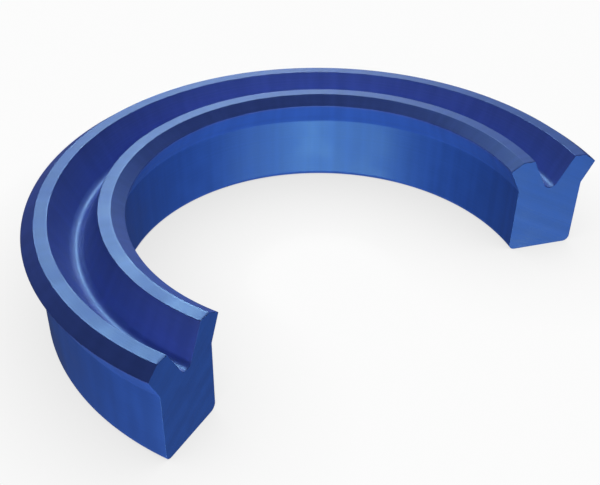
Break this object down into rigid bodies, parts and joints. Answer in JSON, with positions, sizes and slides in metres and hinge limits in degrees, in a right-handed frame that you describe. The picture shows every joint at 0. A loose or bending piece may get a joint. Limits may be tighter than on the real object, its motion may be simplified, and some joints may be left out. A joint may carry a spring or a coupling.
{
  "type": "u-cup seal",
  "caption": "Symmetric U-cup rod seal: a solid heel with two flared, bevelled lips and a round-rooted groove between them, cut open to show its section.",
  "frame": {"origin": "on the ring's axis, in the plane of the heel's flat face", "axes": "+Z along the ring's axis, from the heel towards the lips; -Y through the middle of the missing sector; the part is the same on both sides of the YZ plane"},
  "size_m": [0.0778, 0.0538, 0.0145],
  "materials": {
    "blue_polyurethane": "Moulded blue polyurethane with a satin skin, and the same material sawn through on the two cut faces."
  },
  "bodies": {
    "root": {"u_cup_seal": "blue_polyurethane"}
  },
  "joints": []
}
